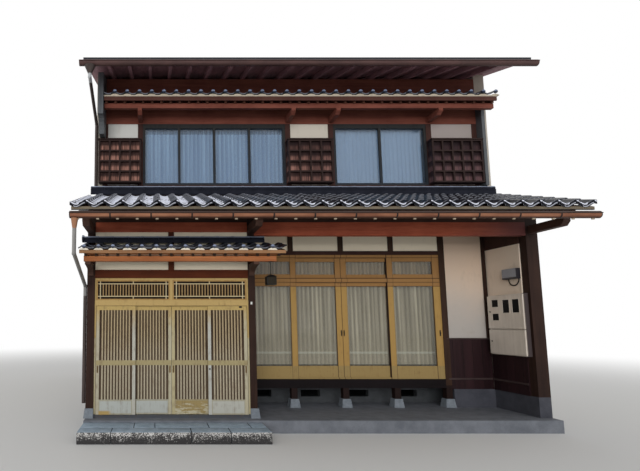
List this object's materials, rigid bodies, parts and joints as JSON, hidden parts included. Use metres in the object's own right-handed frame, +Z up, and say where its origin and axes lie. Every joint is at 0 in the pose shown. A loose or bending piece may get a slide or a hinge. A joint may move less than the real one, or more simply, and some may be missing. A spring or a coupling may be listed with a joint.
{
  "type": "machiya townhouse",
  "caption": "Two-storey timber townhouse with a lattice sliding entrance, recessed window front, tiled eaves and lattice shutter boxes between party walls.",
  "frame": {"origin": "centre of the house plan between the party walls, at street level on the underside of the concrete raft", "axes": "+X along the street to the right of someone facing the house, -Y towards the street, +Z up"},
  "size_m": [8, 10.97, 7.9545],
  "materials": {
    "concrete": "rough cast concrete",
    "step_stone": "sawn stone, worn",
    "concrete_dark": "rough concrete in shade",
    "pedestal_stone": "dressed granite",
    "post_wood": "dark stained, satin",
    "beam_wood": "red-brown stain, satin",
    "arm_wood": "dark red-brown stain",
    "rafter_wood": "red-brown stain, weathered",
    "roof_tile": "glossy blue-black glaze",
    "copper_sheet": "copper brown, dull",
    "dark_gutter": "dark brown, dull",
    "canopy_wood": "orange-brown stain",
    "black_iron": "black, satin",
    "door_metal": "ochre wood tone, faded",
    "lintel_wood": "dark red-brown stain",
    "window_metal": "ochre-brown wood tone",
    "window_glass": "clear",
    "plaster": "fine lime plaster",
    "wainscot_wood": "dark stained boards",
    "cabinet_paint": "cream enamel, aged",
    "side_plaster": "coarse plaster",
    "back_aluminium": "anodised, dull",
    "floor_wood": "planed boards",
    "upper_wood": "dark stained, weathered",
    "bronze_aluminium": "bronze anodised",
    "shutter_wood": "dark red-brown stain",
    "grey_sheet": "grey coated sheet",
    "sheet_roof": "dark coated sheet",
    "curtain_cloth": "pleated net",
    "curtain_blue": "pleated net, pale blue"
  },
  "bodies": {
    "house": {"foundation_slab": "concrete", "entrance_step": "step_stone", "plinth_walls": "concrete", "vent_wall": "concrete_dark", "pedestal_stones": "pedestal_stone", "street_posts": "post_wood", "front_beams": "beam_wood", "eave_arms": "arm_wood", "lower_soffit": "rafter_wood", "lower_roof": "roof_tile", "ridge_courses": "roof_tile", "lower_gutter": "copper_sheet", "gutter_brackets": "dark_gutter", "downspouts": "copper_sheet", "canopy_frame": "canopy_wood", "canopy_soffit": "canopy_wood", "canopy_roof": "roof_tile", "lantern": "black_iron", "entrance_frame": "door_metal", "entrance_transom": "door_metal", "entrance_lintel": "lintel_wood", "window_posts": "post_wood", "window_beams": "post_wood", "window_frame": "window_metal", "window_sashes": "window_metal", "ground_glass": "window_glass", "ground_plaster": "plaster", "recess_wainscot": "wainscot_wood", "meter_cabinet": "cabinet_paint", "left_wall": "side_plaster", "right_wall": "side_plaster", "gable_walls": "side_plaster", "back_piers": "side_plaster", "back_panels": "side_plaster", "back_windows": "back_aluminium", "ground_floor": "floor_wood", "upper_floor": "floor_wood", "upper_posts": "upper_wood", "upper_head_beam": "upper_wood", "upper_panels": "plaster", "upper_windows": "bronze_aluminium", "upper_glass": "window_glass", "shutter_boxes": "shutter_wood", "pent_frame": "rafter_wood", "pent_soffit": "rafter_wood", "pent_roof": "roof_tile", "wing_walls": "grey_sheet", "main_soffit": "upper_wood", "main_roof": "sheet_roof", "main_gutters": "dark_gutter", "lower_curtains": "curtain_cloth", "upper_curtains": "curtain_blue"},
    "leaf_1": {"door_leaf_1": "door_metal"},
    "leaf_2": {"door_leaf_2": "door_metal"},
    "leaf_3": {"door_leaf_3": "door_metal"},
    "leaf_4": {"door_leaf_4": "door_metal"},
    "cover_upper": {"upper_cover": "cabinet_paint"},
    "cover_lower": {"lower_cover": "cabinet_paint"}
  },
  "joints": [
    {"name": "leaf_1_slide", "type": "slide", "parent": "house", "child": "leaf_1", "axis": [1, 0, 0], "range_m": [0, 0.6]},
    {"name": "leaf_2_slide", "type": "slide", "parent": "house", "child": "leaf_2", "axis": [-1, 0, 0], "range_m": [0, 0.6]},
    {"name": "leaf_3_slide", "type": "slide", "parent": "house", "child": "leaf_3", "axis": [1, 0, 0], "range_m": [0, 0.6]},
    {"name": "leaf_4_slide", "type": "slide", "parent": "house", "child": "leaf_4", "axis": [-1, 0, 0], "range_m": [0, 0.6]},
    {"name": "cover_upper_hinge", "type": "hinge", "parent": "house", "child": "cover_upper", "pos_m": [3.5315, -4.321, 1.94], "axis": [0, 0, 1], "range_deg": [0, 100]},
    {"name": "cover_lower_hinge", "type": "hinge", "parent": "house", "child": "cover_lower", "pos_m": [3.5315, -4.321, 1.41], "axis": [0, 0, 1], "range_deg": [0, 100]}
  ]
}
